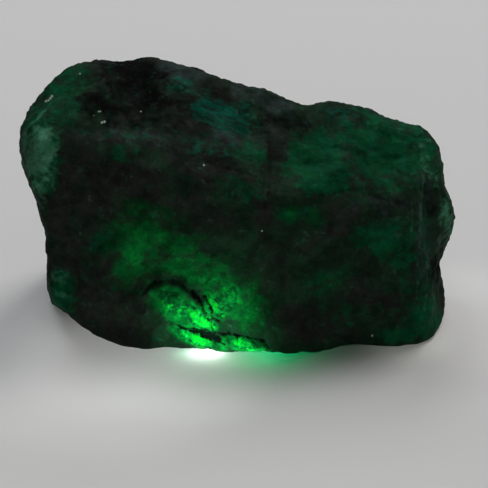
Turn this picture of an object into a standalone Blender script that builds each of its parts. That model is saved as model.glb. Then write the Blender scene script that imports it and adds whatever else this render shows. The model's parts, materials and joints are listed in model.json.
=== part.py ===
"""Rough emerald: one broken and worn piece of green beryl, lying on its flattest side.

The piece is a squat block 57 mm long. A box is cut by the old fracture faces and chipped by flakes.
Then it is worn round, given its lumps, hollows and grooves, and trimmed to the outline that the stone
shows from the front. Last come the small arch and the undercut in its front foot, and the flat
underside.
The tables give lengths in millimetres, and MM turns them into Blender's metres.
"""

import math

import bmesh
import bpy
from mathutils import Matrix, Vector, noise

MM = 0.001
NAME = "emerald"

# The block before it broke: its size, and the middle that the fracture faces are measured from
BLOCK_SIZE = (66.0, 40.0, 44.0)
MIDDLE = Vector((0.0, 0.0, 16.0))

# Fracture faces: turn about the vertical, from the front towards the right, tilt above the level,
# and distance from the middle
FRACTURE_FACES = {
    "front of the left half": (-4, 4, 11.0),
    "front of the right half": (6, 3, 11.6),
    "edge between front and top": (-6, 44, 18.2),
    "top": (-20, 84, 16.9),
    "top sloping to the right": (74, 76, 16.0),
    "upper front of the right half": (18, 58, 11.6),
    "right shoulder": (80, 50, 23.6),
    "right end": (92, -1, 28.5),
    "corner between front and right end": (62, 1, 26.3),
    "right foot": (80, -40, 33.0),
    "left end": (-84, -9, 27.0),
    "left shoulder": (-80, 42, 28.2),
    "pale corner at the left": (-50, 2, 25.0),
    "left foot": (-50, -42, 25.2),
    "front foot": (0, -52, 20.4),
    "back": (180, 5, 12.8),
    "back, left": (-138, 8, 21.5),
    "back, right": (140, -4, 21.0),
    "back of the top": (176, 50, 18.6),
    "back of the right shoulder": (150, 46, 18.4),
    "back foot": (178, -44, 16.8),
}

# The front view: how high above the level it looks from, from how far, and how far the outline is
# carried through the stone. The outline is measured up from the foot of the front face.
VIEW_ELEVATION = 32.0
VIEW_DISTANCE = 320.0
VIEW_DEPTH = 60.0
FRONT_FOOT = -12.0

# The outline in the front view, clockwise from the low left: across, and up from the front foot
OUTLINE = (
    (-25.0, 8.2), (-25.4, 15.2), (-26.3, 17.8), (-26.9, 20.4), (-28.2, 23.2), (-29.0, 28.9),
    (-28.2, 31.8), (-25.9, 34.9), (-22.9, 37.8), (-20.2, 38.8), (-17.2, 39.1), (-15.0, 38.7),
    (-11.4, 39.5), (-9.2, 39.1), (1.2, 35.5), (3.9, 35.1), (9.0, 32.9), (12.2, 33.4), (17.2, 32.7),
    (20.0, 31.2), (24.8, 30.0), (26.5, 28.0), (27.5, 23.2), (29.0, 18.2), (28.2, 14.2), (26.9, 11.8),
    (27.7, 8.5), (27.4, 3.8), (26.0, 1.6), (23.2, 0.6), (19.5, 0.9), (15.2, 1.1), (11.0, -0.2),
    (0.0, -0.2), (-6.0, 0.6), (-8.6, 0.6), (-12.2, 0.0), (-15.5, 0.8), (-18.2, 2.0), (-20.9, 3.6),
    (-23.6, 5.4),
)

# Flakes broken from the edges: middle and radius of the ball that each scar is the print of
FLAKES = {
    "right end, below the lobe": ((36.5, -5.0, 9.0), 10.0),
    "left end, below the pale corner": ((-35.5, -7.0, 13.0), 9.4),
    "front, left of the arch": ((-20.0, -22.5, 3.0), 11.3),
    "front foot, over the arch": ((-5.5, -17.2, -3.0), 7.6),
    "back, low at the left": ((-12.0, 22.0, 3.0), 13.0),
    "back, high at the right": ((14.0, 20.0, 27.0), 12.0),
    "back, upper left edge": ((-27.0, 20.5, 25.0), 12.5),
    "left end, low": ((-33.0, 6.0, 2.0), 9.5),
    "right foot, behind": ((30.0, 14.0, 2.0), 11.0),
}

# A scar's skin is uneven by this share of its radius, this many times over that radius
SCAR_UNEVENNESS = 0.06
SCAR_WAVES = 2.3

# Lumps (above nought) and hollows (below): where, how far they reach each way, and how high
FORMS = {
    "saddle across the top": ((-12.6, 2.0, 33.0), (2.6, 11.0, 5.0), -1.3),
    "step between the halves": ((7.0, 4.0, 29.5), (3.6, 10.0, 5.0), -1.2),
    "groove down the front": ((4.4, -10.5, 22.0), (1.5, 5.0, 7.5), -0.9),
    "swelling right of the groove": ((11.0, -8.0, 22.0), (5.5, 6.0, 5.5), 0.8),
    "hollow in the right end": ((26.4, -8.0, 19.5), (2.2, 4.0, 4.5), -1.3),
    "lobe of the right end": ((29.0, -3.0, 17.5), (3.0, 6.0, 4.0), 0.6),
    "lobe low at the right": ((24.5, -10.5, 4.0), (4.0, 4.0, 3.6), 0.6),
    "pale corner": ((-26.6, -7.5, 20.5), (3.2, 4.0, 5.0), 0.7),
    "shelf on the front": ((-2.0, -11.5, 24.5), (8.0, 3.0, 2.4), 0.6),
    "hollow under the shelf": ((-8.0, -11.5, 20.0), (9.0, 3.0, 2.6), -0.6),
    "swelling over the arch": ((-3.0, -12.0, 7.5), (8.0, 3.5, 5.0), 0.5),
    "brow over the front foot": ((5.0, -12.5, 3.6), (7.5, 4.0, 4.0), 1.7),
    "hollow low on the front": ((13.0, -12.0, 8.0), (6.0, 3.0, 5.0), -0.6),
    "lump on the back": ((4.0, 13.0, 16.0), (7.0, 4.0, 6.0), 0.9),
    "hollow in the back": ((-10.0, 13.5, 20.0), (6.0, 4.0, 5.0), -0.9),
    "lump behind the top": ((-16.0, 9.0, 31.0), (5.0, 4.0, 4.0), 0.5),
}

# Hollows under the front foot, each the print of an egg: its middle, and its reach each way
UNDERCUTS = {
    "arch, with the hollow behind it": ((-4.2, -8.6, -0.6), (2.7, 5.6, 1.85)),
    "undercut right of the arch": ((5.0, -12.6, -0.4), (7.5, 2.4, 1.3)),
}

FORM_EDGE = 1.4

# Uneven swells of the skin, the flat chips that cover it, large and small, and its grain:
# how far across, and how high
SWELLS = (7.0, 0.55)
CHIPS = ((8.5, 0.85), (3.6, 0.42))
CHIP_STEP = 0.6
CHIP_STEP_SEED = 5.1
CHIP_LEAN_SEEDS = (7.3, 8.9, 11.7)
GRAIN = (1.8, 0.16)

# The skin's fineness, the rounds of wear before and after the outline is trimmed, and the last
# light one, and the triangles that are kept before the underside is cut away
VOXEL = 0.6
EDGE_WEAR = 9
LAST_WEAR = 2
LIGHT_WEAR = 0.2
TRIANGLES = 8200

COLOUR = (0.010, 0.060, 0.028, 1.0)
ROUGHNESS = 0.42
BERYL_IOR = 1.58


def material():
    green = bpy.data.materials.new(NAME)
    green.use_nodes = True
    shader = green.node_tree.nodes["Principled BSDF"]
    shader.inputs["Base Color"].default_value = COLOUR
    shader.inputs["Roughness"].default_value = ROUGHNESS
    shader.inputs["Metallic"].default_value = 0.0
    shader.inputs["IOR"].default_value = BERYL_IOR
    return green


def direction(turn, tilt):
    """The way a fracture face looks."""
    turn, tilt = math.radians(turn), math.radians(tilt)
    level = math.cos(tilt)
    return Vector((math.sin(turn) * level, -math.cos(turn) * level, math.sin(tilt)))


def collection(name):
    group = bpy.data.collections.new(name)
    bpy.context.scene.collection.children.link(group)
    return group


def add_object(name, shape, group):
    mesh = bpy.data.meshes.new(name)
    shape.to_mesh(mesh)
    shape.free()
    thing = bpy.data.objects.new(name, mesh)
    group.objects.link(thing)
    return thing


def cut(shape, point, facing):
    """Takes away what lies beyond a plane, and closes the cut with one face."""
    everything = shape.verts[:] + shape.edges[:] + shape.faces[:]
    bmesh.ops.bisect_plane(shape, geom=everything, plane_co=point, plane_no=facing, clear_outer=True)
    rim = [edge for edge in shape.edges if edge.is_boundary]
    if rim:
        bmesh.ops.contextual_create(shape, geom=rim)


def fractured_block(group):
    shape = bmesh.new()
    bmesh.ops.create_cube(shape, size=1.0)
    bmesh.ops.scale(shape, vec=Vector(BLOCK_SIZE) * MM, verts=shape.verts)
    bmesh.ops.translate(shape, vec=MIDDLE * MM, verts=shape.verts)
    for turn, tilt, distance in FRACTURE_FACES.values():
        facing = direction(turn, tilt)
        cut(shape, (MIDDLE + facing * distance) * MM, facing)
    bmesh.ops.recalc_face_normals(shape, faces=shape.faces)
    return add_object(NAME, shape, group)


def as_mesh(curve_object, group):
    """Makes a closed mesh of a curve object, and takes the curve away."""
    graph = bpy.context.evaluated_depsgraph_get()
    mesh = bpy.data.meshes.new_from_object(curve_object.evaluated_get(graph))
    shape = bmesh.new()
    shape.from_mesh(mesh)
    bmesh.ops.remove_doubles(shape, verts=shape.verts, dist=0.01 * MM)
    bmesh.ops.recalc_face_normals(shape, faces=shape.faces)
    shape.to_mesh(mesh)
    shape.free()
    solid = bpy.data.objects.new(curve_object.name + " solid", mesh)
    solid.matrix_world = curve_object.matrix_world
    group.objects.link(solid)
    bpy.data.objects.remove(curve_object)
    return solid


def front_outline(group):
    """The front outline as a long solid along the line of sight, narrower towards the viewer."""
    curve = bpy.data.curves.new("front outline", "CURVE")
    curve.dimensions = "2D"
    curve.fill_mode = "BOTH"
    curve.extrude = VIEW_DEPTH * MM
    curve.resolution_u = 3
    spline = curve.splines.new("BEZIER")
    spline.bezier_points.add(len(OUTLINE) - 1)
    for point, (across, up) in zip(spline.bezier_points, OUTLINE):
        point.co = (across * MM, up * MM, 0.0)
        point.handle_left_type = point.handle_right_type = "AUTO"
    spline.use_cyclic_u = True
    outline = bpy.data.objects.new("front outline", curve)
    group.objects.link(outline)
    bpy.context.view_layer.update()
    solid = as_mesh(outline, group)
    foot_height = FRONT_FOOT * math.sin(math.radians(VIEW_ELEVATION))
    for vertex in solid.data.vertices:
        nearness = 1.0 - vertex.co.z / (VIEW_DISTANCE * MM)
        vertex.co.x *= nearness
        vertex.co.y = (vertex.co.y + foot_height * MM) * nearness
    solid.matrix_world = Matrix.Rotation(math.radians(90.0 - VIEW_ELEVATION), 4, "X")
    return solid


def ball(name, middle, reach, group):
    """A ball, or an egg where it reaches unequally far each way, with an uneven skin."""
    shape = bmesh.new()
    bmesh.ops.create_icosphere(shape, subdivisions=4, radius=1.0)
    for vertex in shape.verts:
        uneven = 1.0 + SCAR_UNEVENNESS * noise.noise(vertex.co * SCAR_WAVES + Vector(middle))
        vertex.co = Vector([c * r * uneven for c, r in zip(vertex.co, reach)])
    bmesh.ops.scale(shape, vec=Vector((MM, MM, MM)), verts=shape.verts)
    bmesh.ops.translate(shape, vec=Vector(middle) * MM, verts=shape.verts)
    return add_object(name, shape, group)


def apply_boolean(stone, operation, cutter):
    cutter.hide_render = True
    cutter.display_type = "WIRE"
    step = stone.modifiers.new(cutter.name, "BOOLEAN")
    step.operation = operation
    step.solver = "EXACT"
    step.object = cutter
    settle(stone)


def settle(stone):
    """Replaces the object's mesh with what its modifiers make of it."""
    bpy.context.view_layer.update()
    graph = bpy.context.evaluated_depsgraph_get()
    mesh = bpy.data.meshes.new_from_object(stone.evaluated_get(graph))
    stone.modifiers.clear()
    stone.data = mesh


def refine(stone, size):
    step = stone.modifiers.new("even skin", "REMESH")
    step.mode = "VOXEL"
    step.voxel_size = size * MM
    settle(stone)


def wear(stone, rounds, strength=0.5):
    """Wears edges and corners round, as handling and rolling do."""
    shape = bmesh.new()
    shape.from_mesh(stone.data)
    for _ in range(rounds):
        bmesh.ops.smooth_vert(
            shape, verts=shape.verts, factor=strength, use_axis_x=True, use_axis_y=True, use_axis_z=True
        )
    shape.to_mesh(stone.data)
    shape.free()


def form_height(point):
    """How far the named lumps and hollows lift or lower the skin at a point."""
    height = 0.0
    for middle, reach, peak in FORMS.values():
        away = sum(((c - m) / r) ** 2 for c, m, r in zip(point, middle, reach))
        height += peak * math.exp(-FORM_EDGE * away)
    return height


def swell_height(point):
    across, high = SWELLS
    return high * noise.fractal(point / across, 0.9, 2.0, 3)


def chip_height(point):
    """Flat chips that lean each its own way and meet in small steps."""
    height = 0.0
    for across, high in CHIPS:
        place = point / across
        centre = noise.voronoi(place)[1][0]
        lean = Vector([noise.noise(centre * seed) for seed in CHIP_LEAN_SEEDS])
        step = CHIP_STEP * noise.noise(centre * CHIP_STEP_SEED)
        height += high * (step + lean.dot(place - centre))
    return height


def grain_height(point):
    across, high = GRAIN
    return high * noise.fractal(point / across, 0.8, 2.0, 2)


def lift_skin(stone, *heights):
    """Lifts and lowers the skin along its normals by the sum of the given heights."""
    shape = bmesh.new()
    shape.from_mesh(stone.data)
    shape.normal_update()
    moves = []
    for vertex in shape.verts:
        height = sum(height_at(vertex.co / MM) for height_at in heights)
        moves.append(vertex.normal * height * MM)
    for vertex, move in zip(shape.verts, moves):
        vertex.co += move
    shape.to_mesh(stone.data)
    shape.free()


def thin_out(stone):
    """Leaves the triangles that the form needs."""
    now = sum(len(face.vertices) - 2 for face in stone.data.polygons)
    step = stone.modifiers.new("fewer faces", "DECIMATE")
    step.ratio = min(1.0, TRIANGLES / now)
    step.use_collapse_triangulate = True
    settle(stone)


def flatten_underside(stone):
    """Cuts the face that the stone lies on."""
    shape = bmesh.new()
    shape.from_mesh(stone.data)
    cut(shape, Vector((0.0, 0.0, 0.0)), Vector((0.0, 0.0, -1.0)))
    bmesh.ops.triangulate(shape, faces=shape.faces)
    shape.to_mesh(stone.data)
    shape.free()


def centre_on_box(stone):
    """Puts the origin under the middle of the stone's box."""
    corners = [Vector(corner) for corner in stone.bound_box]
    middle = sum(corners, Vector()) / len(corners)
    stone.data.transform(Matrix.Translation((-middle.x, -middle.y, 0.0)))


def build():
    """Makes the stone, which stays alone in its collection, with the cutters in another."""
    for thing in list(bpy.data.objects):
        bpy.data.objects.remove(thing)
    stones, cutters = collection("rough emerald"), collection("cutters")
    stone = fractured_block(stones)
    for name, (middle, radius) in FLAKES.items():
        apply_boolean(stone, "DIFFERENCE", ball(name, middle, (radius,) * 3, cutters))
    refine(stone, VOXEL)
    wear(stone, EDGE_WEAR)
    lift_skin(stone, form_height, swell_height, chip_height)
    apply_boolean(stone, "INTERSECT", front_outline(cutters))
    refine(stone, VOXEL)
    wear(stone, LAST_WEAR)
    lift_skin(stone, grain_height)
    for name, (middle, reach) in UNDERCUTS.items():
        apply_boolean(stone, "DIFFERENCE", ball(name, middle, reach, cutters))
    thin_out(stone)
    wear(stone, 1, LIGHT_WEAR)
    flatten_underside(stone)
    centre_on_box(stone)
    stone.data.materials.clear()
    stone.data.materials.append(material())
    stone.data.shade_smooth()


build()
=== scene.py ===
"""Rough emerald on a pale floor, lit softly from above and behind, with small lamps at its front foot.

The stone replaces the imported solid: its skin is made finer and gets the ledges, cracks, streaks and
grain of broken beryl, and its material follows them. Lengths are in millimetres where a name or a
comment says so, and MM turns them into Blender's metres. Places on the stone's front are given by
the pixel of the photograph that shows them.
"""

import json
import math

import bmesh
import bpy
import numpy as np
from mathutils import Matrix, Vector, noise

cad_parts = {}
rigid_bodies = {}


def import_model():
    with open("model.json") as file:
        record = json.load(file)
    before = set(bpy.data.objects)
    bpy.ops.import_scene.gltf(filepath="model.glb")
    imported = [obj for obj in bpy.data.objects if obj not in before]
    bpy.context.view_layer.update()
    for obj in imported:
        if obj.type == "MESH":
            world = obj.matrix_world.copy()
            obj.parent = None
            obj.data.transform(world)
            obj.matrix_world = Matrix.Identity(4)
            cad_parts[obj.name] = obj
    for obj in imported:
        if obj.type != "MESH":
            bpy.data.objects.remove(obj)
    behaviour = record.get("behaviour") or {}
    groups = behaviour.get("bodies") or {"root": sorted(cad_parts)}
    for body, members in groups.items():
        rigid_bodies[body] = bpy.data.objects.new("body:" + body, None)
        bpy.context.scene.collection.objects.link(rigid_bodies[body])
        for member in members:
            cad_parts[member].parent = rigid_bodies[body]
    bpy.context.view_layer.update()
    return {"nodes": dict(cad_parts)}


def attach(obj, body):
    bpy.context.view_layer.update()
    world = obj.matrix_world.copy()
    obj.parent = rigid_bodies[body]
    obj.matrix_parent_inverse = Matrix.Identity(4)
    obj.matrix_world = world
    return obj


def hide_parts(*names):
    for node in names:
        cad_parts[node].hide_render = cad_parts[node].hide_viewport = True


MM = 0.001

# The photograph's viewpoint: how high above the level it looks from, from how far, where the middle
# of the stone's length and the foot of its front lie in the 488 pixels wide picture, and its scale
VIEW_ELEVATION = 32.0
VIEW_DISTANCE = 320.0
PICTURE = 488
STONE_MIDDLE_PX = 236.0
FRONT_FOOT_PX = 352.0
FRONT_FOOT = -12.0
PIXELS_PER_MM = 7.48
SENSOR = 36.0

# The nearest and the farthest that the camera shows, in metres
CLIP = (0.01, 10.0)

# The viewpoint's own origin, in millimetres
VIEW_ORIGIN = Vector((-0.27, -0.366, 0.0))

# How squarely a place faces the camera is written from 0, edge-on, to 1, head-on. It starts to count
# as seen at the first of these and is fully seen at the second
SEEN_FACING = (-0.05, 0.2)

# The size of the skin's faces, and the corner of the front, in pixels, where they are half as large
# if they face the camera by more than this
SKIN_VOXEL = 0.30
LIT_CORNER = ((135, 275), (275, 356))
LIT_FACING = 0.1

# How strongly the skin is smoothed, and how many times before it is carved
SMOOTHING = 0.5
SMOOTHING_ROUNDS = 8

# Heights above the ground in millimetres: where the flat sole ends, and where the relief is whole
SOLE = 0.05
WHOLE_RELIEF = 1.5

# The even light from all around; the floor's shader settings, and its side in metres
SKY = {"Color": (0.92, 0.95, 1.0, 1.0), "Strength": 0.02}
FLOOR = {"Base Color": (0.78, 0.77, 0.76, 1.0), "Roughness": 0.75, "Specular IOR Level": 0.2}
FLOOR_SIDE = 3.0

# One milliwatt in watts
MILLIWATT = 0.001

# Studio lamps: compass direction from behind the stone clockwise, height above the level, both in
# degrees, side of the square in metres, power in watts, colour; all hang as far away as each other
LAMP_DISTANCE = 1.3
STUDIO = {
    "window_right": (45, 60, 0.58, 6.6, (1.0, 0.99, 0.97)),
    "window_left": (315, 60, 0.58, 3.5, (0.92, 0.95, 1.0)),
    "window_back": (0, 40, 0.58, 3.2, (0.92, 0.95, 1.0)),
    "floor_front": (170, 55, 0.58, 0.5, (1.0, 0.98, 0.94)),
    "stone_front": (150, 32, 0.58, 2.8, (1.0, 0.99, 0.95)),
}

# Which of them shine on the floor alone, and which on the stone alone
FLOOR_ONLY = ("floor_front",)
STONE_ONLY = ("stone_front",)

# Small lamps at the front foot, which light the stone alone or the floor alone: the place of each,
# what it points at, its length and width, its power in milliwatts, and its colour
LAMPS_ON_STONE = {
    "lamp_in_arch": ((-4.6, -8.6, 0.35), (-4.6, -8.6, 5.0), (3.0, 3.0), 0.9, (0.2, 1.0, 0.4)),
    "lamp_through_front": ((-5.2, -15.8, 3.1), (-5.2, -11.9, 4.6), (2.8, 2.2), 0.65, (0.3, 1.0, 0.6)),
    "lamp_through_lip": ((-1.0, -14.2, 0.6), (-1.0, -12.0, 1.0), (9.0, 0.6), 0.24, (0.3, 1.0, 0.6)),
    "lamp_through_right": ((-1.0, -19.0, 7.0), (-1.0, -11.5, 7.0), (5.0, 5.0), 0.36, (0.3, 1.0, 0.6)),
}
LAMPS_ON_FLOOR = {
    "lamp_under_lip": ((-4.2, -12.2, 0.9), (-4.2, -12.2, 0.0), (3.6, 0.8), 0.052, (0.92, 1.0, 0.96)),
    "lamp_glare": ((-4.0, -12.5, 2.8), (-4.0, -12.5, 0.0), (4.4, 1.0), 0.082, (0.90, 1.0, 0.96)),
    "lamp_green_pool": ((3.2, -11.8, 4.6), (3.2, -11.8, 0.0), (6.0, 1.0), 0.17, (0.0, 1.0, 0.30)),
    "lamp_green_left": ((-7.0, -12.2, 1.5), (-7.0, -12.2, 0.0), (0.6, 0.6), 0.01, (0.0, 1.0, 0.35)),
    "lamp_past_right_foot": ((22.0, -10.6, 3.5), (22.0, -10.6, 0.0), (10.0, 1.0), 0.022, (0.95, 1.0, 0.90)),
}

# Wide soft pools on the floor: the middle of each, its height and its reach in millimetres, its power
# in milliwatts, and its colour
POOLS = {
    "lamp_spill": ((-17.0, -16.0), 60.0, 24.0, 28.0, (0.98, 1.0, 0.98)),
    "lamp_spill_left": ((-17.0, -14.5), 60.0, 15.0, 19.0, (0.98, 1.0, 0.99)),
    "lamp_spill_near": ((-7.0, -18.5), 60.0, 13.0, 13.0, (0.94, 1.0, 0.97)),
    "floor_right": ((33.0, -4.0), 60.0, 17.0, 15.0, (1.0, 0.99, 0.96)),
    "right_foot": ((23.0, -9.5), 60.0, 8.0, 3.0, (0.95, 1.0, 0.90)),
    "floor_near": ((-8.0, -58.0), 150.0, 50.0, 50.0, (1.0, 0.98, 0.95)),
}

# The radius of the lamps that make the pools, in metres
POOL_LAMP_RADIUS = 0.002

# Patches on the front, each an oval: its middle and reach in pixels, its turn in degrees, its strength.
# The clearer green beryl
CLEAR = {
    "right shoulder": ((318, 160), (28, 27), 15, 1.3),
    "right shoulder foot": ((328, 181), (22, 11), -8, 1.2),
    "right top": ((385, 150), (54, 34), 18, 0.9),
    "right rim": ((419, 152), (12, 26), -20, 0.8),
    "bead": ((288, 216), (9, 7), 0, 1.0),
    "second bead": ((313, 215), (12, 9), 0, 0.8),
    "right front": ((380, 236), (30, 20), 0, 0.8),
    "right flank": ((403, 252), (12, 24), 0, 0.7),
    "right edge": ((422, 256), (9, 46), 0, 0.6),
    "right foot": ((332, 278), (30, 14), -10, 0.45),
    "right flank low": ((410, 292), (18, 18), 0, 0.45),
    "right sole": ((365, 314), (44, 12), 0, 0.35),
    "low right lobe": ((425, 320), (20, 18), 0, 0.9),
    "low right foot": ((398, 336), (22, 8), 0, 0.8),
    "left low": ((62, 290), (15, 20), 0, 1.15),
    "left flank": ((103, 240), (16, 14), 0, 0.5),
    "above the lens": ((245, 153), (24, 12), 15, 0.6),
    "below the lens": ((240, 191), (26, 13), 15, 0.50),
    "under the ridge": ((120, 151), (26, 11), 0, 0.55),
    "top left": ((66, 84), (26, 16), -30, 0.62),
    "top left foot": ((76, 106), (14, 7), 10, 0.30),
    "top left edge": ((48, 112), (34, 22), -45, 0.60),
    "by the left end": ((50, 160), (12, 31), 5, 0.85),
    "left foot": ((155, 340), (12, 7), 0, 0.25),
    "middle": ((220, 195), (40, 14), 20, 0.25),
}

# The corner of the top that is as mossy as the right half: middle and reach in pixels, turn, softness
MOSSY_CORNER = ((76, 96), (46, 34), -20, 0.6)

# Nearly black places on the top and the right end: the stone's dark tone, with painted shade in the top
# hollow, the right hollow and the notch
DARK_AND_SHADE = {
    "top hollow": ((143, 88), (14, 28), -12, 1.25),
    "top hollow rim": ((130, 68), (34, 14), 0, 1.1),
    "top": ((130, 98), (66, 28), 0, 0.65),
    "top left": ((92, 100), (34, 20), 10, 0.58),
    "top middle": ((278, 112), (30, 16), 20, 0.6),
    "top slope": ((225, 98), (60, 16), 22, 0.35),
    "top slope low": ((170, 120), (60, 14), 5, 0.35),
    "right hollow": ((430, 212), (6, 16), 0, 0.55),
    "right notch": ((432, 268), (8, 14), 0, 0.8),
}

# Dull brownish places
UMBER_PATCHES = {
    "by the groove": ((272, 150), (16, 30), 0, 0.6),
    "foot of the groove": ((266, 205), (12, 28), 0, 0.7),
    "right middle": ((342, 222), (18, 26), 15, 0.75),
    "right middle low": ((312, 246), (16, 14), 0, 0.5),
    "bead": ((356, 152), (12, 13), 0, 0.9),
    "second bead": ((366, 182), (13, 9), 0, 0.9),
    "third bead": ((385, 182), (7, 7), 0, 0.6),
    "lens": ((230, 172), (34, 9), 22, 0.75),
    "right of the glow": ((302, 322), (30, 20), 0, 0.9),
    "low middle": ((272, 256), (20, 38), 0, 0.55),
    "low right": ((380, 300), (44, 13), 5, 0.65),
    "left of the glow": ((112, 314), (46, 22), 20, 0.80),
    "left front": ((112, 182), (52, 30), 0, 0.70),
    "middle front": ((205, 213), (44, 18), 12, 0.55),
    "right sole": ((345, 334), (34, 8), 0, 0.5),
}

# Bluish grey patches; on the top band and along the ridge they are a painted bluish sheen
SLATE_AND_SHEEN = {
    "top band": ((180, 71), (24, 9), 22, 0.9),
    "top band low": ((264, 100), (34, 9), 25, 0.85),
    "lamellae foot": ((232, 137), (20, 7), 4, 0.8),
    "ridge": ((150, 140), (72, 9), 3, 0.38),
    "top left": ((120, 125), (34, 8), 8, 0.2),
    "right step": ((388, 208), (32, 9), 6, 0.45),
    "right hollow": ((424, 235), (9, 70), 0, 0.5),
}

# Pale green weathering
PALE = {
    "left end": ((38, 150), (16, 30), 8, 0.90),
    "left foot": ((60, 286), (12, 16), 0, 0.30),
    "left end low": ((41, 178), (14, 22), 0, 0.60),
    "right lobe": ((448, 216), (7, 26), 0, 0.55),
    "right rim": ((428, 160), (7, 28), -15, 0.35),
}

# Wavy teal lamellae; along the ridge and the top the teal is partly a painted sheen
TEAL_AND_SHEEN = {
    "lamellae": ((221, 114), (32, 15), 22, 1.0),
    "ridge": ((160, 136), (84, 8), 3, 0.32),
    "above the lamellae": ((182, 84), (14, 8), 15, 0.6),
    "below the lamellae": ((212, 150), (34, 9), 6, 0.38),
    "right top": ((345, 114), (26, 9), 10, 0.5),
    "left flank": ((104, 242), (14, 12), 0, 0.45),
}

# The places that light shines through. Their glow is painted into the colour, over the scattering and the
# small lamps that light them
GLOW = {
    "upper left": ((140, 241), (34, 34), 25, 0.37),
    "left edge": ((124, 268), (18, 26), 0, 0.24),
    "left flank": ((103, 246), (14, 30), 0, 0.12),
    "middle": ((178, 260), (48, 26), 22, 0.31),
    "upper right": ((216, 274), (28, 20), 30, 0.32),
    "right": ((224, 303), (20, 18), 0, 0.55),
    "right rim": ((252, 306), (15, 24), 0, 0.37),
    "right low": ((246, 318), (18, 14), 0, 0.26),
    "lump": ((174, 303), (32, 17), 35, 0.56),
    "core": ((193, 314), (16, 7), 44, 0.88),
    "core foot": ((202, 322), (15, 7), 20, 0.92),
    "streak": ((231, 298), (6, 14), 10, 0.84),
    "strip": ((214, 306), (6, 15), -35, 0.88),
    "lip": ((198, 339), (25, 7), 22, 0.90),
    "right lip": ((244, 344), (22, 6), 10, 0.80),
    "bead": ((290, 215), (10, 8), 0, 0.26),
    "second bead": ((313, 215), (12, 9), 0, 0.20),
}

# The shattered corner, whose chips break up the painted glow: middle and reach in pixels, turn, softness;
# its chips: size in millimetres, shift, warp; the least painted glow that a chip keeps and how much more
# the clearest ones keep; and the width of the dark seams between them, in chips
SHATTERED = ((200, 306), (60, 42), 15, 0.6)
SHARDS = (1.25, 61.0, 0.6)
SHARD_LIGHT = (0.22, 0.95)
SHARD_SEAM = 0.16

# Cracks, painted dark, and in the ledge's wide wedge painted shade: points in pixels along each, with the
# half of its width there
INNER_CRACK = ((192, 292, 2.0), (200, 301, 1.5), (205, 312, 0.6), (210, 323, 0.8), (215, 333, 1.0))
SIDE_CRACK = ((203, 295, 0.8), (210, 305, 0.6), (213, 317, 0.7), (220, 322, 0.5))
LEDGE = (
    (172, 323, 0.4), (182, 327, 0.9), (192, 330, 2.4), (205, 334, 4.0), (216, 339, 4.0), (224, 345, 1.0),
)
RIGHT_LEDGE = ((220, 333, 1.8), (240, 336, 1.2), (262, 341, 1.0), (270, 348, 0.8))
CRACKS = (INNER_CRACK, SIDE_CRACK, LEDGE, RIGHT_LEDGE)

# Fainter lines along grooves, written in the same way; their dark paint is partly painted shade in the
# grooves
ARC_CRACK = (
    (141, 296, 0.5), (148, 287, 1.2), (156, 282, 2.0), (166, 280, 1.6), (177, 282, 1.2), (186, 288, 2.0),
    (193, 292, 2.6), (199, 299, 1.5),
)
LENS = ((200, 160, 0.0), (220, 166, 0.4), (240, 172, 0.9), (256, 177, 0.2))
GROOVE = ((268, 132, 0.0), (270, 155, 0.8), (269, 190, 0.6), (264, 214, 0.2))
STEP = ((318, 197, 0.0), (352, 189, 0.2), (386, 200, 0.4), (414, 207, 0.0))
FAINT_LINES = (ARC_CRACK, LENS, GROOVE, STEP)

# Small pale spots painted on the front: the pixel of each and its radius in pixels
SPECKS = (
    (46, 100.5, 1.1), (48.5, 99.5, 1.0), (50.5, 97.5, 1.2), (52, 95.5, 1.2), (80, 73, 0.7),
    (98.8, 111, 0.8), (100.5, 110.8, 0.7), (102, 122, 1.1), (104.5, 121.3, 1.2), (94, 115, 0.4),
    (141, 111, 0.7), (204, 165, 0.9), (262, 231, 0.8), (372, 336, 0.9),
)

# Grooves: points in pixels along each with the half of its width there, its depth in millimetres, and
# how far its walls spread in pixels
GROOVES = {
    "arc over the lit corner": (ARC_CRACK, 0.30, 2.5),
    "inner crack": (INNER_CRACK, 0.30, 1.2),
    "side crack": (SIDE_CRACK, 0.25, 1.2),
    "ledge": (((178, 326, 0.5), (192, 330, 1.5), (204, 334, 2.0), (213, 337, 1.0)), 0.8, 2.0),
    "right ledge": (RIGHT_LEDGE, 0.4, 1.2),
    "down the front": (((267, 128, 1.0), (270, 155, 2.0), (266, 190, 2.0), (271, 218, 0.5)), 0.35, 4.0),
    "right end": (((425, 188, 2.0), (427, 212, 3.0), (430, 240, 3.0), (435, 268, 4.0)), 0.9, 6.0),
    "across the top": (((138, 58, 6.0), (140, 82, 3.0), (143, 104, 0.0)), 0.4, 12.0),
    "step on the right half": (STEP, 0.15, 2.0),
    "lens": (LENS, 0.22, 1.8),
}

# Lumps: middle and reach in pixels, turn in degrees, height in millimetres
LUMPS = {
    "lit corner": ((180, 306), (26, 17), 35, 0.45),
    "ridge": ((160, 147), (95, 9), 3, 0.30),
    "lip": ((202, 341), (25, 6), 5, 0.40),
    "right lip": ((243, 347), (24, 6), 5, 0.40),
    "lamellae": ((222, 112), (28, 18), 20, 0.20),
    "right shoulder": ((318, 160), (32, 28), 10, 0.25),
    "right lobe": ((446, 216), (9, 24), 0, 0.35),
    "low right lobe": ((424, 320), (20, 20), 0, 0.30),
    "bump on the top edge": ((262, 93), (12, 7), 15, 0.20),
    "dip in the top edge": ((306, 108), (9, 6), 0, -0.35),
    "second bump": ((320, 104), (7, 5), 0, 0.3),
    "long dip": ((355, 108), (26, 8), 10, -0.35),
    "right top edge": ((400, 122), (40, 8), 16, -0.30),
}

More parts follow.
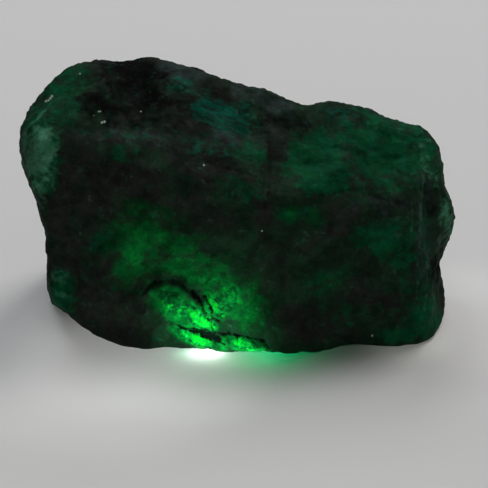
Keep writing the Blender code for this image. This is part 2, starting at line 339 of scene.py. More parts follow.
# Corrections of the outline: middle and reach in pixels, turn in degrees, and the move in millimetres
MOVES = {
    "lip": ((205, 342), (30, 13), 8, (0.0, 0.0, -0.55)),
    "middle of the lip": ((209, 345), (13, 10), 0, (0.0, 0.0, -0.35)),
    "brow": ((300, 347), (28, 13), 0, (0.0, -0.9, 0.0)),
    "right sole": ((406, 342), (20, 11), 0, (0.0, -0.45, 0.0)),
    "left end": ((34, 200), (26, 50), 0, (0.35, 0.0, 0.0)),
    "left foot": ((62, 317), (14, 11), 0, (0.50, 0.0, 0.20)),
    "top left": ((34, 98), (26, 18), -45, (0.20, 0.0, -0.05)),
    "right corner": ((438, 160), (14, 22), 0, (0.38, 0.0, 0.0)),
    "right arch": ((372, 346), (30, 11), 0, (0.0, -0.40, 0.0)),
}

# Relief all over the skin. Soft noise: size in millimetres, shift, height in millimetres
SOFT_RELIEF = ((4.2, 1.3, 0.12), (1.1, 9.7, 0.08))

# Flat chips: size in millimetres, shift, warp, height in millimetres
CHIP_RELIEF = ((3.6, 13.0, 0.25, 0.20), (1.5, 27.0, 0.3, 0.11))

# How much a chip leans and how much it stands out, how far apart the draws for two chips are taken,
# and the noise that warps them: its size in chips, and the step between its three parts
CHIP_LEAN = 2.0
CHIP_STEP = 0.6
DRAW_STEP = 3.17
WARP_SIZE = 0.6
WARP_STEP = 5.0

# The height of the shattered corner's chips in millimetres
SHARD_HEIGHT = 0.12

# The crumbly rim: how squarely a place faces the camera where it starts and where it is whole, and
# its noise and its chips, written as above
RIM_FACING = (0.5, 0.1)
RIM_NOISE = (0.9, 31.0, 0.19)
RIM_CHIPS = (1.3, 47.0, 0.3, 0.16)

# How the walls of a groove wobble: the size of fine noise in millimetres and its reach in pixels, and
# the size of wide noise and its reach in shares of the groove's spread
GROOVE_FINE = (0.8, 1.2)
GROOVE_WIDE = (2.0, 0.4)

# How softly ovals fade and how far their edges wander, in shares of their radius
PATCH_EDGE = (0.75, 0.5)
GLOW_EDGE = (0.75, 0.2)
LUMP_EDGE = (0.7, 0.15)
MOVE_SOFTNESS = 0.7

# The noise that edges wander by: sizes in millimetres, and the share of each
WANDER = ((2.5, 1.0), (1.1, 0.5))

# Shifts keep two noises from looking alike: the first one of a table, and the step from row to row
GROOVE_SHIFTS = (2.0, 2.0)
LUMP_SHIFTS = (0.0, 5.0)
KIND_SHIFTS = (11.0, 20.0)
GLOW_SHIFT = 5.0
PATCH_STEP = 3.7

# The patches by kind, and how strong each kind is on the sides that the photograph hides
PATCHES = {
    "clear": CLEAR, "dark_and_shade": DARK_AND_SHADE, "slate_and_sheen": SLATE_AND_SHEEN, "pale": PALE, "teal_and_sheen": TEAL_AND_SHEEN, "umber": UMBER_PATCHES,
}
HIDDEN_SHARE = {
    "clear": 0.65, "dark_and_shade": 0.45, "slate_and_sheen": 0.4, "pale": 0.2, "teal_and_sheen": 0.35, "umber": 0.6, "moss": 0.6,
}

# The noise that spreads them there: its size in millimetres, and its values where a patch starts and
# where it is whole
HIDDEN_SIZE = 6.0
HIDDEN_NOISE = (-0.05, 0.35)

# The mossy right half: where it starts and where it is whole, in pixels across the picture at one
# height of it, and how much further to the left that lies for each pixel below that height
MOSSY_ACROSS = (150.0, 330.0)
MOSSY_HEIGHT = 170.0
MOSSY_LEAN = 0.6

# The arc over the lump shades the glow: gaps to it in pixels where the shade starts and where it is
# whole, and how much light it takes
ARC_SHADE = (8.0, 1.0)
ARC_TAKES = 0.45

# The widest gap to a crack that is written, in pixels
WIDEST_GAP = 10.0

# Ribs down the right end: middle and reach in pixels, turn, softness; their height in millimetres; and
# the size of their noise in millimetres, its shift and how it is drawn out
RIBS = ((424, 240), (14, 85), 0, 0.3)
RIB_HEIGHT = 0.06
RIB_NOISE = (0.7, 17.0, (1.0, 1.0, 9.0))

# Pale lines along the ribs, written as the cracks are
RIB_LINES = (
    ((420, 158, 0.4), (424, 180, 1.0), (421, 200, 0.7), (421, 225, 1.1), (419, 250, 0.8)),
    ((412, 200, 0.3), (412, 225, 0.8), (411, 245, 0.4)),
    ((418, 252, 0.4), (418, 275, 0.9), (416, 300, 0.4)),
    ((427, 262, 0.4), (427, 288, 0.9), (424, 312, 0.5)),
    ((442, 205, 0.3), (441, 230, 0.7), (437, 252, 0.4)),
)

# Colours of the beryl; of its cracks, whose dark also paints shade in the grooves; of the glow painted into
# it, with UNLIT its dark parts; and of the pale specks
SOOT = (0.0044, 0.0042, 0.0041, 1.0)
UMBER = (0.0172, 0.0188, 0.0154, 1.0)
GRAPHITE = (0.0162, 0.0190, 0.0154, 1.0)
MOSS = (0.0112, 0.0285, 0.0150, 1.0)
LEAF = (0.0020, 0.0660, 0.0220, 1.0)
SEA = (0.0024, 0.0560, 0.0240, 1.0)
TEAL_GREEN = (0.0026, 0.0800, 0.0500, 1.0)
SLATE_BLUE = (0.0250, 0.0370, 0.0345, 1.0)
MINT = (0.0200, 0.1550, 0.0700, 1.0)
PALE_GREEN = (0.0700, 0.2100, 0.1250, 1.0)
CRACK_AND_SHADE = (0.0015, 0.0025, 0.0018, 1.0)
UNLIT = (0.0015, 0.0160, 0.0065, 1.0)
DIM_GLOW = (0.0030, 0.5000, 0.0850, 1.0)
BRIGHT_GLOW = (0.0010, 0.6800, 0.0600, 1.0)
YELLOW_GREEN_GLOW = (0.0060, 0.7000, 0.0350, 1.0)
PALE_SPECK = (0.3400, 0.4000, 0.3500, 1.0)

# Clouds in the material. The size of their noise in millimetres, its detail, roughness and distortion;
# the values between which it rises; and what the cloud gives at each of them
CLOUDS = {
    "green": ((1.8, 4.0, 0.6, 0.0), (0.42, 0.58), (0.0, 1.0)),
    "rib edges": ((1.0, 3.0, 0.5, 0.0), (0.3, 0.7), (-0.8, 2.2)),
    "glow edges": ((2.2, 4.0, 0.6, 0.3), (0.2, 0.8), (-0.25, 0.25)),
    "glow clouds": ((2.8, 2.0, 0.5, 0.5), (0.36, 0.62), (0.50, 1.0)),
    "glow grains": ((0.95, 3.0, 0.50, 0.8), (0.38, 0.56), (0.15, 1.0)),
    "lit grains": ((0.5, 2.0, 0.5, 0.0), (0.4, 0.6), (0.0, 1.0)),
    "mottle": ((3.6, 3.0, 0.6, 0.5), (0.34, 0.64), (0.70, 1.22)),
    "crack edges": ((0.8, 4.0, 0.6, 0.0), (0.25, 0.75), (-2.2, 2.2)),
}

# Noises that aren't made into clouds, written in the same way
MOSS_NOISE = (3.4, 3.0, 0.50, 0.4)
VEIN_NOISE = (1.7, 3.0, 0.6, 0.4)
FINE_NOISE = (0.30, 3.0, 0.6, 0.0)
GRAIN_NOISE = (1.0, 3.0, 0.6, 0.0)
BUMP_NOISE = (0.45, 4.0, 0.65, 0.0)

# Streaks: the detail and distortion of their noise; then degrees above the level, width and length
# in millimetres, the values between which they rise, and what they give at each of them
STREAK_DETAIL = 3.0
STREAK_DISTORTION = 0.6
LAMELLAE = ((-25, 0.5, 2.6), (0.36, 0.60), (0.25, 1.0))
SLANTED = ((35, 0.9, 4.0), (0.36, 0.66), (0.3, 0.9))

# How the noise breaks up the edges of each kind of beryl: its size in millimetres, its detail,
# roughness and distortion, how far it moves the edge, and the strengths between which a patch fades in
RAGGED_SIZE = {"dark_and_shade": 1.7, "umber": 2.0, "clear": 1.3, "slate_and_sheen": 1.5, "teal_and_sheen": 1.1, "pale": 1.2}
RAGGED_NOISE = (3.0, 0.58, 0.3)
RAGGED_MOVE = (0.2, 0.8, -0.36, 0.36)
RAGGED_FADE = (0.15, 0.85)

# How one value follows another: the low and the high end of that one, and what is given at each
MOSS_RAMP = (0.44, 0.70, 0.0, 1.0)
RIB_RAMP = (-1.0, 1.6, 0.35, 0.0)
GRAIN_RAMP = (0.6, 1.4, 0.70, 1.30)
ROUGHNESS_RAMP = (0.2, 0.8, 0.46, 0.74)
GLOW_INSIDE = (0.0, 0.42, 0.0, 1.0)
GLOW_VEINS = (0.0, 0.04, 0.25, 1.0)
GLOW_BROKEN = (0.36, 0.60, 0.35, 0.95)
GLOW_CALM = (0.66, 0.90, 1.0, 0.45)
GLOW_BRIGHT = (0.15, 0.60, 0.0, 1.0)

# What moss adds to its noise, the dark places to the roughness, and the glow to the scattering and to
# the bumps
MOSS_GAIN = 0.20
DARK_ROUGHNESS = 0.2
GLOW_SCATTER = 0.8
GLOW_BUMPS = 0.3

# How dark each kind of line is painted, partly as shade in its groove, and how many pixels it fades over,
# and how many the pale specks do
LINE_PAINT = {"faint_gap": (0.75, 3.2), "crack_gap": (1.0, 1.2)}
SPECK_FADE = 0.6

# What is the same all over the stone: its shader's settings, and those of its bumps
SURFACE = {
    "Specular IOR Level": 0.014, "IOR": 1.57, "Subsurface Radius": (0.3, 1.0, 0.4),
    "Subsurface Scale": 1.0 * MM,
}
BUMPS = {"Strength": 0.8, "Distance": 0.14 * MM}


def clear_scene():
    for thing in list(bpy.data.objects):
        bpy.data.objects.remove(thing)


def view_axes():
    tilt = math.radians(VIEW_ELEVATION)
    across = Vector((1.0, 0.0, 0.0))
    up = Vector((0.0, math.sin(tilt), math.cos(tilt)))
    towards = Vector((0.0, -math.cos(tilt), math.sin(tilt)))
    return across, up, towards


def make_camera():
    across, up, towards = view_axes()
    eye = (VIEW_ORIGIN + towards * VIEW_DISTANCE) * MM
    foot_up = FRONT_FOOT * math.sin(math.radians(VIEW_ELEVATION))
    aim_across = (PICTURE / 2 - STONE_MIDDLE_PX) / PIXELS_PER_MM
    aim_up = (FRONT_FOOT_PX - PICTURE / 2) / PIXELS_PER_MM + foot_up
    aim = (VIEW_ORIGIN + across * aim_across + up * aim_up) * MM
    data = bpy.data.cameras.new("camera")
    data.sensor_width = SENSOR
    data.lens = SENSOR * PIXELS_PER_MM * VIEW_DISTANCE / PICTURE
    data.clip_start, data.clip_end = CLIP
    camera = bpy.data.objects.new("camera", data)
    camera.location = eye
    camera.rotation_euler = (aim - eye).to_track_quat("-Z", "Y").to_euler()
    bpy.context.scene.collection.objects.link(camera)
    bpy.context.scene.camera = camera


def add_lamp(name, data, place, aim=None):
    lamp = bpy.data.objects.new(name, data)
    lamp.location = place
    if aim is not None:
        lamp.rotation_euler = (Vector(aim) - Vector(place)).to_track_quat("-Z", "Y").to_euler()
    lamp.visible_camera = False
    bpy.context.scene.collection.objects.link(lamp)
    return lamp


def area_light(name, place, aim, size, power, colour):
    data = bpy.data.lights.new(name, "AREA")
    data.shape = "RECTANGLE"
    data.size = size[0]
    data.size_y = size[1]
    data.energy = power
    data.color = colour
    return add_lamp(name, data, place, aim)


def spot_light(name, place, reach, power, colour):
    """A lamp that shines straight down on a round place this far to each side."""
    data = bpy.data.lights.new(name, "SPOT")
    data.spot_size = 2.0 * math.atan2(reach, place[2])
    data.spot_blend = 1.0
    data.shadow_soft_size = POOL_LAMP_RADIUS
    data.energy = power
    data.color = colour
    return add_lamp(name, data, place)


def link_lamp(lamp, lit, blockers):
    """Says which objects the lamp shines on, and which of them throw its shadows."""
    linking = lamp.light_linking
    linking.receiver_collection = bpy.data.collections.new(lamp.name + "_lights")
    linking.blocker_collection = bpy.data.collections.new(lamp.name + "_blocked_by")
    for thing in lit:
        linking.receiver_collection.objects.link(thing)
    for thing in blockers:
        linking.blocker_collection.objects.link(thing)


def set_sockets(node, values):
    for name, value in values.items():
        node.inputs[name].default_value = value


def make_studio(stone, floor):
    world = bpy.data.worlds.new("studio")
    bpy.context.scene.world = world
    world.use_nodes = True
    set_sockets(world.node_tree.nodes["Background"], SKY)
    for name, (compass, height, side, power, colour) in STUDIO.items():
        turn, rise = math.radians(compass), math.radians(height)
        level = math.cos(rise)
        place = Vector((math.sin(turn) * level, math.cos(turn) * level, math.sin(rise))) * LAMP_DISTANCE
        lamp = area_light(name, place, (0.0, 0.0, 0.0), (side, side), power, colour)
        lit = [stone] * (name not in FLOOR_ONLY) + [floor] * (name not in STONE_ONLY)
        link_lamp(lamp, lit, (stone, floor))


def make_small_lamps(stone, floor):
    for table, lit, blockers in ((LAMPS_ON_STONE, stone, (stone, floor)), (LAMPS_ON_FLOOR, floor, (floor,))):
        for name, (place, aim, size, power, colour) in table.items():
            size = (size[0] * MM, size[1] * MM)
            lamp = area_light(name, Vector(place) * MM, Vector(aim) * MM, size, power * MILLIWATT, colour)
            link_lamp(lamp, (lit,), blockers)
    for name, (middle, height, reach, power, colour) in POOLS.items():
        place = Vector((*middle, height)) * MM
        lamp = spot_light(name, place, reach * MM, power * MILLIWATT, colour)
        link_lamp(lamp, (floor,), (floor,))


def make_floor():
    bpy.ops.mesh.primitive_plane_add(size=FLOOR_SIDE, location=(0.0, 0.0, 0.0))
    floor = bpy.context.object
    floor.name = "floor"
    material = bpy.data.materials.new("floor")
    material.use_nodes = True
    set_sockets(material.node_tree.nodes["Principled BSDF"], FLOOR)
    floor.data.materials.append(material)
    return floor


def fine_skin(node):
    """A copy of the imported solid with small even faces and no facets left."""
    stone = bpy.data.objects.new("emerald_stone", node.data.copy())
    bpy.context.scene.collection.objects.link(stone)
    step = stone.modifiers.new("skin", "REMESH")
    step.mode = "VOXEL"
    step.voxel_size = SKIN_VOXEL * MM
    round_off = stone.modifiers.new("round_off", "SMOOTH")
    round_off.factor = SMOOTHING
    round_off.iterations = SMOOTHING_ROUNDS
    bpy.context.view_layer.update()
    graph = bpy.context.evaluated_depsgraph_get()
    mesh = bpy.data.meshes.new_from_object(stone.evaluated_get(graph))
    stone.modifiers.clear()
    stone.data = mesh
    refine(mesh)
    return stone


def refine(mesh):
    """Halves the faces of the lit corner, so that its narrow cracks have points to follow."""
    skin = Skin(mesh)
    low, high = LIT_CORNER
    inside = (skin.x > low[0]) & (skin.x < high[0]) & (skin.y > low[1]) & (skin.y < high[1])
    chosen = inside & (skin.facing > LIT_FACING)
    work = bmesh.new()
    work.from_mesh(mesh)
    edges = [edge for edge in work.edges if all(chosen[vert.index] for vert in edge.verts)]
    bmesh.ops.subdivide_edges(work, edges=edges, cuts=1, use_grid_fill=True)
    work.to_mesh(mesh)
    work.free()
    mesh.update()


def smooth(low, high, value):
    """Goes softly from 0 at low to 1 at high."""
    share = np.clip((value - low) / (high - low), 0.0, 1.0)
    return share * share * (3.0 - 2.0 * share)


class Skin:
    """The stone's points, in millimetres, with their normals and their pixels in the photograph."""

    def __init__(self, mesh):
        count = len(mesh.vertices)
        places = np.empty(count * 3)
        normals = np.empty(count * 3)
        mesh.vertices.foreach_get("co", places)
        mesh.vertices.foreach_get("normal", normals)
        self.mesh = mesh
        self.place = places.reshape(-1, 3) / MM
        self.normal = normals.reshape(-1, 3)
        across, up, towards = (np.array(axis) for axis in view_axes())
        away = self.place - np.array(VIEW_ORIGIN)
        scale = VIEW_DISTANCE / (VIEW_DISTANCE - away @ towards) * PIXELS_PER_MM
        foot_px = FRONT_FOOT_PX + FRONT_FOOT * math.sin(math.radians(VIEW_ELEVATION)) * PIXELS_PER_MM
        self.x = STONE_MIDDLE_PX + away @ across * scale
        self.y = foot_px - away @ up * scale
        sight = towards * VIEW_DISTANCE - away
        sight /= np.linalg.norm(sight, axis=1)[:, None]
        self.facing = np.sum(sight * self.normal, axis=1)
        self.seen = smooth(*SEEN_FACING, self.facing)

    def noise(self, size, shift, stretch=(1.0, 1.0, 1.0)):
        """Soft noise between about -1 and 1, with lumps of this size in millimetres."""
        points = self.place / (np.array(stretch) * size) + shift
        return np.fromiter((noise.noise(point) for point in points), float, len(points))

    def warped(self, size, shift, warp):
        """The places in units of this size, pushed about by softer noise."""
        push = [self.noise(size * WARP_SIZE, shift + WARP_STEP * part) for part in range(3)]
        return self.place / size + shift + warp * np.stack(push, 1)

    def chips(self, size, shift, warp):
        """Flat chips of this size, each leaning its own way: a height between about -1 and 1."""
        heights = np.empty(len(self.place))
        for number, point in enumerate(self.warped(size, shift, warp)):
            middle = noise.voronoi(point)[1][0]
            draw = noise.cell_vector(middle * DRAW_STEP)
            lean = (draw - Vector((0.5, 0.5, 0.5))).dot(Vector(point) - middle)
            heights[number] = CHIP_LEAN * lean + CHIP_STEP * (draw.x - 0.5)
        return heights

    def shards(self, size, shift, warp):
        """How much of the painted glow the same chips keep, from 0 to about 1, with dark seams between them.
        """
        light = np.empty(len(self.place))
        least, more = SHARD_LIGHT
        for number, point in enumerate(self.warped(size, shift, warp)):
            gaps, middles = noise.voronoi(point)
            draw = noise.cell_vector(middles[0] * DRAW_STEP).y
            light[number] = (least + more * draw) * min(1.0, (gaps[1] - gaps[0]) / SHARD_SEAM)
        return light

    def write(self, name, values):
        layer = self.mesh.attributes.new(name, "FLOAT", "POINT")
        layer.data.foreach_set("value", np.ascontiguousarray(values, dtype=np.float32))


def oval(skin, middle, reach, turn, soft, wander=0.0, shift=0.0):
    """1 inside an ellipse on the photograph and 0 outside, fading over soft of its radius."""
    angle = math.radians(turn)
    over, down = skin.x - middle[0], skin.y - middle[1]
    along = (over * math.cos(angle) + down * math.sin(angle)) / reach[0]
    side = (down * math.cos(angle) - over * math.sin(angle)) / reach[1]
    radius = np.hypot(along, side)
    if wander:
        for size, share in WANDER:
            radius = radius + share * wander * skin.noise(size, shift)
    return smooth(1.0 + soft, 1.0 - soft, radius)


def blob(skin, *shape):
    """The same ellipse, on the side that the photograph shows and not on the sides that it hides."""
    return oval(skin, *shape) * skin.seen


def path_distance(skin, points):
    """How far outside a line of varying width each point is, in pixels; points are x, y, half width."""
    nearest = np.full(len(skin.x), np.inf)
    for (ax, ay, a_wide), (bx, by, b_wide) in zip(points, points[1:]):
        run_x, run_y = bx - ax, by - ay
        share = ((skin.x - ax) * run_x + (skin.y - ay) * run_y) / (run_x ** 2 + run_y ** 2)
        share = np.clip(share, 0.0, 1.0)
        gap = np.hypot(skin.x - ax - share * run_x, skin.y - ay - share * run_y)
        nearest = np.minimum(nearest, gap - a_wide - share * (b_wide - a_wide))
    return nearest


def patches(skin, table, edge, shift):
    """The strongest of a table's patches at each point."""
    strongest = np.zeros(len(skin.x))
    for number, (middle, reach, turn, strength) in enumerate(table.values()):
        share = strength * blob(skin, middle, reach, turn, *edge, shift + PATCH_STEP * number)
        strongest = np.maximum(strongest, share)
    return strongest


def shift_at(shifts, number):
    return shifts[0] + shifts[1] * number


def groove(skin, points, depth, spread, shift):
    fine = GROOVE_FINE[1] * skin.noise(GROOVE_FINE[0], shift)
    wide = GROOVE_WIDE[1] * spread * skin.noise(GROOVE_WIDE[0], shift)
    gap = path_distance(skin, points) + fine + wide
    return -depth * smooth(spread, -spread, gap) * skin.seen


def soft_relief(skin, size, shift, height):
    return height * skin.noise(size, shift)


def chip_relief(skin, size, shift, warp, height):
    return height * skin.chips(size, shift, warp)


def relief(skin):
    """Height of the skin's own relief along its normal, in millimetres."""
    height = np.zeros(len(skin.x))
    for row in SOFT_RELIEF:
        height += soft_relief(skin, *row)
    for row in CHIP_RELIEF:
        height += chip_relief(skin, *row)
    height += SHARD_HEIGHT * blob(skin, *SHATTERED) * skin.chips(*SHARDS)
    for number, (points, depth, spread) in enumerate(GROOVES.values()):
        height += groove(skin, points, depth, spread, shift_at(GROOVE_SHIFTS, number))
    for number, (middle, reach, turn, peak) in enumerate(LUMPS.values()):
        height += peak * blob(skin, middle, reach, turn, *LUMP_EDGE, shift_at(LUMP_SHIFTS, number))
    height += RIB_HEIGHT * blob(skin, *RIBS) * skin.noise(*RIB_NOISE)
    crumbly = smooth(*RIM_FACING, np.abs(skin.facing))
    height += crumbly * (soft_relief(skin, *RIM_NOISE) + chip_relief(skin, *RIM_CHIPS))
    return height


def carve(skin):
    """Moves the skin's points by the relief and the corrections of the outline."""
    firm = smooth(SOLE, WHOLE_RELIEF, skin.place[:, 2])
    moved = skin.place + skin.normal * (relief(skin) * firm)[:, None]
    for middle, reach, turn, move in MOVES.values():
        moved += oval(skin, middle, reach, turn, MOVE_SOFTNESS)[:, None] * np.array(move)
    moved[:, 2] = np.maximum(moved[:, 2], 0.0)
    skin.mesh.vertices.foreach_set("co", (moved * MM).ravel())
    skin.mesh.update()
    soften(skin.mesh)


def soften(mesh):
    """Rounds off the sharpest spikes of the carved skin and leaves its flat sole as it is."""
    work = bmesh.new()
    work.from_mesh(mesh)
    points = [vert for vert in work.verts if vert.co.z > SOLE * MM]
    ways = {"use_axis_x": True, "use_axis_y": True, "use_axis_z": True}
    bmesh.ops.smooth_vert(work, verts=points, factor=SMOOTHING, **ways)
    work.to_mesh(mesh)
    work.free()
    mesh.update()


def paint(skin):
    """Writes where each kind of beryl shows. The sides that the photograph hides get like patches."""
    hidden = 1.0 - skin.seen
    for number, (name, table) in enumerate(PATCHES.items()):
        shift = shift_at(KIND_SHIFTS, number)
        unseen = HIDDEN_SHARE[name] * smooth(*HIDDEN_NOISE, skin.noise(HIDDEN_SIZE, shift))
        skin.write(name, patches(skin, table, PATCH_EDGE, shift) + hidden * unseen)
    # The glow painted into the colour, with painted shade taking some of it near the arc over the lump
    shade = ARC_TAKES * smooth(*ARC_SHADE, path_distance(skin, ARC_CRACK))
    skin.write("glow", patches(skin, GLOW, GLOW_EDGE, GLOW_SHIFT) * (1.0 - shade))
    skin.write("shards", skin.shards(*SHARDS))
    mossy = smooth(*MOSSY_ACROSS, skin.x + MOSSY_LEAN * (skin.y - MOSSY_HEIGHT))
    mossy = np.maximum(mossy, oval(skin, *MOSSY_CORNER))
    skin.write("moss", mossy * skin.seen + HIDDEN_SHARE["moss"] * hidden)
    for name, table in (("crack_gap", CRACKS), ("faint_gap", FAINT_LINES), ("rib_gap", RIB_LINES)):
        gap = np.min([path_distance(skin, points) for points in table], axis=0)
        gap = np.clip(gap, -WIDEST_GAP, WIDEST_GAP)
        skin.write(name, np.where(skin.seen > 0.5, gap, WIDEST_GAP))
    skin.write("seen", skin.seen)
    front = np.stack([skin.x, -skin.y, np.zeros(len(skin.x))], 1) / PIXELS_PER_MM * MM
    layer = skin.mesh.attributes.new("front", "FLOAT_VECTOR", "POINT")
    layer.data.foreach_set("vector", front.astype(np.float32).ravel())


class Nodes:
    """Short ways to add nodes to one material."""

    def __init__(self, material):
        material.use_nodes = True
        self.tree = material.node_tree
        self.shader = self.tree.nodes["Principled BSDF"]
        self.place = self.tree.nodes.new("ShaderNodeTexCoord").outputs["Object"]

    def feed(self, socket, value):
        if isinstance(value, bpy.types.NodeSocket):
            self.tree.links.new(value, socket)
        else:
            socket.default_value = value

    def attribute(self, name, output="Fac"):
        node = self.tree.nodes.new("ShaderNodeAttribute")
        node.attribute_name = name
        return node.outputs[output]

    def noise(self, size, detail, rough, distortion):
        node = self.tree.nodes.new("ShaderNodeTexNoise")
        node.inputs["Scale"].default_value = 1.0 / (size * MM)
        node.inputs["Detail"].default_value = detail
        node.inputs["Roughness"].default_value = rough
        node.inputs["Distortion"].default_value = distortion
        self.feed(node.inputs["Vector"], self.place)
        return node.outputs["Fac"]

    def ramp(self, value, low, high, start=0.0, end=1.0):
        node = self.tree.nodes.new("ShaderNodeMapRange")
        node.interpolation_type = "SMOOTHSTEP"
        self.feed(node.inputs["Value"], value)
        node.inputs["From Min"].default_value = low
        node.inputs["From Max"].default_value = high
        node.inputs["To Min"].default_value = start
        node.inputs["To Max"].default_value = end
        return node.outputs["Result"]

    def cloud(self, name):
        texture, between, gives = CLOUDS[name]
        return self.ramp(self.noise(*texture), *between, *gives)

    def streaks(self, place, shape, between, gives):
        """A cloud drawn out along a direction on the front."""
        turn, width, length = shape
        turned = self.tree.nodes.new("ShaderNodeMapping")
        turned.vector_type = "TEXTURE"
        turned.inputs["Rotation"].default_value = (0.0, 0.0, math.radians(turn))
        turned.inputs["Scale"].default_value = (length * MM, width * MM, MM)
        self.feed(turned.inputs["Vector"], place)
        node = self.tree.nodes.new("ShaderNodeTexNoise")
        node.inputs["Scale"].default_value = 1.0
        node.inputs["Detail"].default_value = STREAK_DETAIL
        node.inputs["Distortion"].default_value = STREAK_DISTORTION
        self.feed(node.inputs["Vector"], turned.outputs["Vector"])
        return self.ramp(node.outputs["Fac"], *between, *gives)

    def math(self, kind, first, second=0.0):
        node = self.tree.nodes.new("ShaderNodeMath")
        node.operation = kind
        self.feed(node.inputs[0], first)
        self.feed(node.inputs[1], second)
        return node.outputs["Value"]

    def mix(self, share, first, second, kind="MIX"):
        node = self.tree.nodes.new("ShaderNodeMix")
        node.data_type = "RGBA"
        node.blend_type = kind
        self.feed(node.inputs["Factor"], share)
        self.feed(node.inputs["A"], first)
        self.feed(node.inputs["B"], second)
        return node.outputs["Result"]

    def distance(self, place, middle):
        node = self.tree.nodes.new("ShaderNodeVectorMath")
        node.operation = "DISTANCE"
        self.feed(node.inputs[0], place)
        self.feed(node.inputs[1], middle)
        return node.outputs["Value"]

    def spots(self, place, points, fade):
        """1 on any of these small round spots and 0 off them, from pixels and radii in pixels."""
        nearest = None
        for x, y, radius in points:
            gap = self.distance(place, Vector((x, -y, 0.0)) * MM / PIXELS_PER_MM)
            gap = self.math("SUBTRACT", self.math("MULTIPLY", gap, PIXELS_PER_MM / MM), radius)
            nearest = gap if nearest is None else self.math("MINIMUM", nearest, gap)
        return self.ramp(nearest, -fade, fade, 1.0, 0.0)

    def ragged(self, kind):
        """Where a kind of beryl shows: its painted patches with edges broken by noise."""
        broken = self.ramp(self.noise(RAGGED_SIZE[kind], *RAGGED_NOISE), *RAGGED_MOVE)
        return self.ramp(self.math("ADD", self.attribute(kind), broken), *RAGGED_FADE)


def body_colour(nodes, front):
    """The stone's own colour, before the glow."""
    mossy = nodes.math("MULTIPLY", nodes.attribute("moss"), MOSS_GAIN)
    mossy = nodes.math("ADD", nodes.noise(*MOSS_NOISE), mossy)
    colour = nodes.mix(nodes.ramp(mossy, *MOSS_RAMP), GRAPHITE, MOSS)
    # Nearly black: dark tone, and painted shade in the hollows and the notch
    colour = nodes.mix(nodes.ragged("dark_and_shade"), colour, SOOT)
    colour = nodes.mix(nodes.ragged("umber"), colour, UMBER)
    green = nodes.mix(nodes.cloud("green"), LEAF, SEA)
    colour = nodes.mix(nodes.ragged("clear"), colour, green)
    # Bluish grey, which on the top band and the ridge is a painted sheen
    colour = nodes.mix(nodes.ragged("slate_and_sheen"), colour, SLATE_BLUE)
    # Teal lamellae, with a painted teal sheen along the ridge and the top
    wavy = nodes.streaks(front, *LAMELLAE)
    colour = nodes.mix(nodes.math("MULTIPLY", nodes.ragged("teal_and_sheen"), wavy), colour, TEAL_GREEN)
    pale = nodes.mix(nodes.streaks(front, *SLANTED), MINT, PALE_GREEN)
    colour = nodes.mix(nodes.ragged("pale"), colour, pale)
    broken = nodes.cloud("rib edges")
    ribs = nodes.math("ADD", nodes.attribute("rib_gap"), broken)
    return nodes.mix(nodes.ramp(ribs, *RIB_RAMP), colour, PALE_GREEN)


def glow_share(nodes):
    """Where a glow of light through the stone is painted into the colour, and how much of it, both from 0 to
    1.
    """
    glow = nodes.attribute("glow")
    broken = nodes.cloud("glow edges")
    inside = nodes.ramp(nodes.math("ADD", glow, broken), *GLOW_INSIDE)
    clouds = nodes.cloud("glow clouds")
    grains = nodes.cloud("glow grains")
    veins = nodes.math("ABSOLUTE", nodes.math("SUBTRACT", nodes.noise(*VEIN_NOISE), 0.5))
    crisp = nodes.math("MULTIPLY", grains, nodes.ramp(veins, *GLOW_VEINS))
    crisp = nodes.math("MULTIPLY", crisp, nodes.attribute("shards"))
    calm = nodes.ramp(glow, *GLOW_CALM)
    gain = nodes.math("MULTIPLY", nodes.ramp(glow, *GLOW_BROKEN), calm)
    taken = nodes.math("MULTIPLY", nodes.math("SUBTRACT", 1.0, crisp), gain)
    share = nodes.math("MULTIPLY", glow, inside)
    share = nodes.math("MULTIPLY", share, clouds)
    return inside, nodes.math("MULTIPLY", share, nodes.math("SUBTRACT", 1.0, taken))


def add_glow(nodes, colour, inside, glow):
    """The colour with the glow painted into it: dark green in the lit corner, lit greens where light comes
    through.
    """
    # Painted glow: first the dark green of the lit corner, then the lit greens over it
    colour = nodes.mix(inside, colour, UNLIT)
    lit = nodes.mix(nodes.cloud("lit grains"), BRIGHT_GLOW, YELLOW_GREEN_GLOW)
    lit = nodes.mix(nodes.ramp(glow, *GLOW_BRIGHT), DIM_GLOW, lit)
    return nodes.mix(glow, colour, lit)


def add_grain(nodes, colour, fine):
    grain = nodes.ramp(nodes.math("ADD", fine, nodes.noise(*GRAIN_NOISE)), *GRAIN_RAMP)
    colour = nodes.mix(1.0, colour, grain, "MULTIPLY")
    return nodes.mix(1.0, colour, nodes.cloud("mottle"), "MULTIPLY")


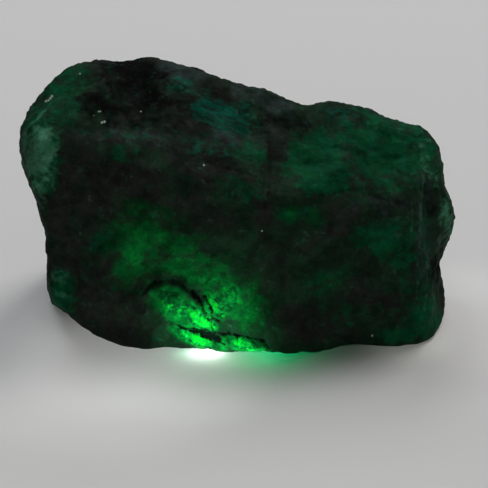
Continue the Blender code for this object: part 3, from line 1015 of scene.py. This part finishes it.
def add_cracks_and_specks(nodes, colour, front):
    wander = nodes.cloud("crack edges")
    # Dark lines painted along the cracks, which also paint shade in the grooves
    for name, (depth, fade) in LINE_PAINT.items():
        gap = nodes.math("ADD", nodes.attribute(name), wander)
        colour = nodes.mix(nodes.ramp(gap, -fade, fade, depth, 0.0), colour, CRACK_AND_SHADE)
    # Small pale spots painted on the front
    speck = nodes.math("MULTIPLY", nodes.spots(front, SPECKS, SPECK_FADE), nodes.attribute("seen"))
    return nodes.mix(speck, colour, PALE_SPECK)


def stone_material():
    material = bpy.data.materials.new("emerald")
    nodes = Nodes(material)
    shader = nodes.shader
    front = nodes.attribute("front", "Vector")
    fine = nodes.noise(*FINE_NOISE)
    colour = body_colour(nodes, front)
    inside, glow = glow_share(nodes)
    colour = add_glow(nodes, colour, inside, glow)
    colour = add_grain(nodes, colour, fine)
    colour = add_cracks_and_specks(nodes, colour, front)
    nodes.feed(shader.inputs["Base Color"], colour)
    dull = nodes.math("MULTIPLY", nodes.attribute("dark_and_shade"), DARK_ROUGHNESS)
    rough = nodes.math("ADD", nodes.ramp(fine, *ROUGHNESS_RAMP), dull)
    nodes.feed(shader.inputs["Roughness"], rough)
    set_sockets(shader, SURFACE)
    shader.subsurface_method = "RANDOM_WALK"
    nodes.feed(shader.inputs["Subsurface Weight"], nodes.math("MULTIPLY", glow, GLOW_SCATTER))
    height = nodes.math("ADD", nodes.noise(*BUMP_NOISE), nodes.math("MULTIPLY", glow, GLOW_BUMPS))
    bump = nodes.tree.nodes.new("ShaderNodeBump")
    set_sockets(bump, BUMPS)
    nodes.feed(bump.inputs["Height"], height)
    nodes.feed(shader.inputs["Normal"], bump.outputs["Normal"])
    return material


def make_stone(node):
    stone = fine_skin(node)
    carve(Skin(stone.data))
    paint(Skin(stone.data))
    stone.data.materials.clear()
    stone.data.materials.append(stone_material())
    stone.data.shade_smooth()
    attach(stone, "root")
    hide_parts("emerald")
    return stone


def main():
    clear_scene()
    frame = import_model()
    make_camera()
    floor = make_floor()
    stone = make_stone(frame["nodes"]["emerald"])
    make_studio(stone, floor)
    make_small_lamps(stone, floor)
    bpy.context.scene.view_settings.view_transform = "Standard"


main()
